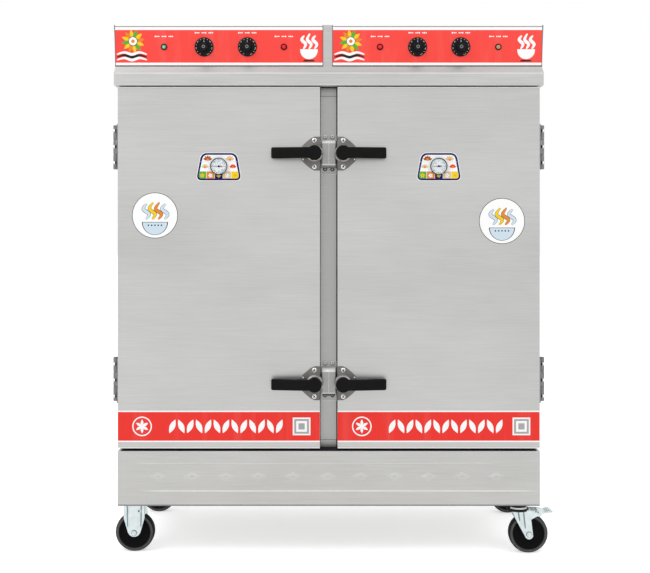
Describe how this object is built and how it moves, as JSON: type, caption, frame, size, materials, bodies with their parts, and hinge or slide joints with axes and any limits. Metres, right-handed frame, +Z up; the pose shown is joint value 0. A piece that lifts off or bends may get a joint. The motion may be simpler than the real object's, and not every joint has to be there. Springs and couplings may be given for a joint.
{
  "type": "steamer cabinet",
  "caption": "Tall stainless rice steamer cabinet on casters, with twin hinged doors, lever latches, dial thermometers and a raised control box with knobs and lamps.",
  "frame": {"origin": "middle of the object's box at the floor", "axes": "+Z up, the doors face -Y, +X to the right of someone who faces the doors"},
  "size_m": [1.3796, 0.6924, 1.6297],
  "materials": {
    "base_plinth": "brushed stainless sheet",
    "brake_pedal_front": "zinc plated",
    "brake_pedal_rear": "zinc plated",
    "cable_gland": "moulded black",
    "chamber_liner_left": "bright stainless sheet",
    "chamber_liner_right": "bright stainless sheet",
    "control_box": "brushed stainless sheet",
    "door_gasket_left": "moulded pale silicone",
    "door_gasket_right": "moulded pale silicone",
    "door_liner_left": "bright stainless sheet",
    "door_liner_right": "bright stainless sheet",
    "door_skin_left": "brushed stainless sheet",
    "door_skin_right": "brushed stainless sheet",
    "front_frame": "brushed stainless sheet, darker",
    "heater_left": "heat tinted stainless tube",
    "heater_right": "heat tinted stainless tube",
    "hinge_door_leaf_left_lower": "zinc plated",
    "hinge_door_leaf_left_upper": "zinc plated",
    "hinge_door_leaf_right_lower": "zinc plated",
    "hinge_door_leaf_right_upper": "zinc plated",
    "hinge_frame_leaf_left_lower": "zinc plated",
    "hinge_frame_leaf_left_upper": "zinc plated",
    "hinge_frame_leaf_right_lower": "zinc plated",
    "hinge_frame_leaf_right_upper": "zinc plated",
    "latch_base_left_lower": "grey cast metal",
    "latch_base_left_upper": "grey cast metal",
    "latch_base_right_lower": "grey cast metal",
    "latch_base_right_upper": "grey cast metal",
    "latch_handle_left_lower": "moulded black",
    "latch_handle_left_upper": "moulded black",
    "latch_handle_right_lower": "moulded black",
    "latch_handle_right_upper": "moulded black",
    "left_green_lamp": "clear green lens",
    "left_red_lamp": "clear red lens",
    "left_thermostat_knob": "moulded black",
    "left_timer_knob": "moulded black",
    "outer_casing": "brushed stainless sheet",
    "right_amber_lamp": "clear amber lens",
    "right_red_lamp": "clear red lens",
    "right_thermostat_knob": "moulded black",
    "right_timer_knob": "moulded black",
    "rigid_caster_front": "zinc plated",
    "rigid_caster_rear": "zinc plated",
    "strike_lower": "brushed stainless sheet, darker",
    "strike_upper": "brushed stainless sheet, darker",
    "switch_bracket_left": "zinc plated",
    "switch_bracket_right": "zinc plated",
    "swivel_fork_front": "zinc plated",
    "swivel_fork_rear": "zinc plated",
    "swivel_plate_front": "zinc plated",
    "swivel_plate_rear": "zinc plated",
    "thermometer_case_left": "bright rim",
    "thermometer_case_right": "bright rim",
    "thermometer_needle_left": "painted red",
    "thermometer_needle_right": "painted red",
    "top_cap": "brushed stainless sheet",
    "wheel_left_front": "dark grey tread on a black hub",
    "wheel_left_rear": "dark grey tread on a black hub",
    "wheel_right_front": "dark grey tread on a black hub",
    "wheel_right_rear": "dark grey tread on a black hub"
  },
  "bodies": {
    "cabinet": {"outer_casing": "outer_casing", "top_cap": "top_cap", "base_plinth": "base_plinth", "front_frame": "front_frame", "chamber_liner_left": "chamber_liner_left", "chamber_liner_right": "chamber_liner_right", "heater_left": "heater_left", "heater_right": "heater_right", "control_box": "control_box", "switch_bracket_left": "switch_bracket_left", "switch_bracket_right": "switch_bracket_right", "cable_gland": "cable_gland", "left_green_lamp": "left_green_lamp", "left_red_lamp": "left_red_lamp", "right_red_lamp": "right_red_lamp", "right_amber_lamp": "right_amber_lamp", "strike_upper": "strike_upper", "strike_lower": "strike_lower", "hinge_frame_leaf_left_upper": "hinge_frame_leaf_left_upper", "hinge_frame_leaf_left_lower": "hinge_frame_leaf_left_lower", "hinge_frame_leaf_right_upper": "hinge_frame_leaf_right_upper", "hinge_frame_leaf_right_lower": "hinge_frame_leaf_right_lower", "rigid_caster_front": "rigid_caster_front", "rigid_caster_rear": "rigid_caster_rear", "swivel_plate_front": "swivel_plate_front", "swivel_plate_rear": "swivel_plate_rear"},
    "left_door": {"door_skin_left": "door_skin_left", "door_liner_left": "door_liner_left", "door_gasket_left": "door_gasket_left", "thermometer_case_left": "thermometer_case_left", "latch_base_left_upper": "latch_base_left_upper", "latch_base_left_lower": "latch_base_left_lower", "hinge_door_leaf_left_upper": "hinge_door_leaf_left_upper", "hinge_door_leaf_left_lower": "hinge_door_leaf_left_lower"},
    "left_upper_handle": {"latch_handle_left_upper": "latch_handle_left_upper"},
    "left_lower_handle": {"latch_handle_left_lower": "latch_handle_left_lower"},
    "left_needle": {"thermometer_needle_left": "thermometer_needle_left"},
    "right_door": {"door_skin_right": "door_skin_right", "door_liner_right": "door_liner_right", "door_gasket_right": "door_gasket_right", "thermometer_case_right": "thermometer_case_right", "latch_base_right_upper": "latch_base_right_upper", "latch_base_right_lower": "latch_base_right_lower", "hinge_door_leaf_right_upper": "hinge_door_leaf_right_upper", "hinge_door_leaf_right_lower": "hinge_door_leaf_right_lower"},
    "right_upper_handle": {"latch_handle_right_upper": "latch_handle_right_upper"},
    "right_lower_handle": {"latch_handle_right_lower": "latch_handle_right_lower"},
    "right_needle": {"thermometer_needle_right": "thermometer_needle_right"},
    "left_thermostat_knob": {"left_thermostat_knob": "left_thermostat_knob"},
    "left_timer_knob": {"left_timer_knob": "left_timer_knob"},
    "right_thermostat_knob": {"right_thermostat_knob": "right_thermostat_knob"},
    "right_timer_knob": {"right_timer_knob": "right_timer_knob"},
    "left_front_wheel": {"wheel_left_front": "wheel_left_front"},
    "right_front_fork": {"swivel_fork_front": "swivel_fork_front"},
    "right_front_wheel": {"wheel_right_front": "wheel_right_front"},
    "right_front_pedal": {"brake_pedal_front": "brake_pedal_front"},
    "left_rear_wheel": {"wheel_left_rear": "wheel_left_rear"},
    "right_rear_fork": {"swivel_fork_rear": "swivel_fork_rear"},
    "right_rear_wheel": {"wheel_right_rear": "wheel_right_rear"},
    "right_rear_pedal": {"brake_pedal_rear": "brake_pedal_rear"}
  },
  "joints": [
    {"name": "left_door_hinge", "type": "hinge", "parent": "cabinet", "child": "left_door", "pos_m": [-0.68135, -0.24955, 0.3383], "axis": [0, 0, -1], "range_deg": [0, 180]},
    {"name": "left_upper_handle_turn", "type": "hinge", "parent": "left_door", "child": "left_upper_handle", "pos_m": [-0.0646, -0.29785, 1.2384], "axis": [0, 1, 0], "range_deg": [0, 90]},
    {"name": "left_lower_handle_turn", "type": "hinge", "parent": "left_door", "child": "left_lower_handle", "pos_m": [-0.0646, -0.29785, 0.5363], "axis": [0, 1, 0], "range_deg": [0, 90]},
    {"name": "left_needle_turn", "type": "hinge", "parent": "left_door", "child": "left_needle", "pos_m": [-0.35697, -0.30185, 1.1994], "axis": [0, 1, 0], "range_deg": [-45, 225]},
    {"name": "right_door_hinge", "type": "hinge", "parent": "cabinet", "child": "right_door", "pos_m": [0.63965, -0.24955, 0.3383], "axis": [0, 0, 1], "range_deg": [0, 180]},
    {"name": "right_upper_handle_turn", "type": "hinge", "parent": "right_door", "child": "right_upper_handle", "pos_m": [0.0229, -0.29785, 1.2384], "axis": [0, -1, 0], "range_deg": [0, 90]},
    {"name": "right_lower_handle_turn", "type": "hinge", "parent": "right_door", "child": "right_lower_handle", "pos_m": [0.0229, -0.29785, 0.5363], "axis": [0, -1, 0], "range_deg": [0, 90]},
    {"name": "right_needle_turn", "type": "hinge", "parent": "right_door", "child": "right_needle", "pos_m": [0.31528, -0.30185, 1.1994], "axis": [0, 1, 0], "range_deg": [-45, 225]},
    {"name": "left_thermostat_knob_turn", "type": "hinge", "parent": "cabinet", "child": "left_thermostat_knob", "pos_m": [-0.40155, -0.30152, 1.56391], "axis": [0, 0.9945, 0.1045], "range_deg": [0, 270]},
    {"name": "left_timer_knob_turn", "type": "hinge", "parent": "cabinet", "child": "left_timer_knob", "pos_m": [-0.26955, -0.30152, 1.56391], "axis": [0, 0.9945, 0.1045], "range_deg": [0, 300]},
    {"name": "right_thermostat_knob_turn", "type": "hinge", "parent": "cabinet", "child": "right_thermostat_knob", "pos_m": [0.25035, -0.30152, 1.56391], "axis": [0, 0.9945, 0.1045], "range_deg": [0, 270]},
    {"name": "right_timer_knob_turn", "type": "hinge", "parent": "cabinet", "child": "right_timer_knob", "pos_m": [0.38235, -0.30152, 1.56391], "axis": [0, 0.9945, 0.1045], "range_deg": [0, 300]},
    {"name": "left_front_wheel_roll", "type": "hinge", "parent": "cabinet", "child": "left_front_wheel", "pos_m": [-0.62775, -0.21285, 0.0605], "axis": [0, 1, 0], "continuous": true},
    {"name": "right_front_fork_swivel", "type": "hinge", "parent": "cabinet", "child": "right_front_fork", "pos_m": [0.56965, -0.22935, 0.1355], "axis": [0, 0, 1], "continuous": true},
    {"name": "right_front_wheel_roll", "type": "hinge", "parent": "right_front_fork", "child": "right_front_wheel", "pos_m": [0.60065, -0.22935, 0.0605], "axis": [0, 1, 0], "continuous": true},
    {"name": "right_front_pedal_press", "type": "hinge", "parent": "right_front_fork", "child": "right_front_pedal", "pos_m": [0.63365, -0.22935, 0.1245], "axis": [0, 1, 0], "range_deg": [0, 12]},
    {"name": "left_rear_wheel_roll", "type": "hinge", "parent": "cabinet", "child": "left_rear_wheel", "pos_m": [-0.62775, 0.23715, 0.0605], "axis": [0, 1, 0], "continuous": true},
    {"name": "right_rear_fork_swivel", "type": "hinge", "parent": "cabinet", "child": "right_rear_fork", "pos_m": [0.58435, 0.21975, 0.1355], "axis": [0, 0, 1], "continuous": true},
    {"name": "right_rear_wheel_roll", "type": "hinge", "parent": "right_rear_fork", "child": "right_rear_wheel", "pos_m": [0.61535, 0.21975, 0.0605], "axis": [0, 1, 0], "continuous": true},
    {"name": "right_rear_pedal_press", "type": "hinge", "parent": "right_rear_fork", "child": "right_rear_pedal", "pos_m": [0.64835, 0.21975, 0.1245], "axis": [0, 1, 0], "range_deg": [0, 12]}
  ]
}
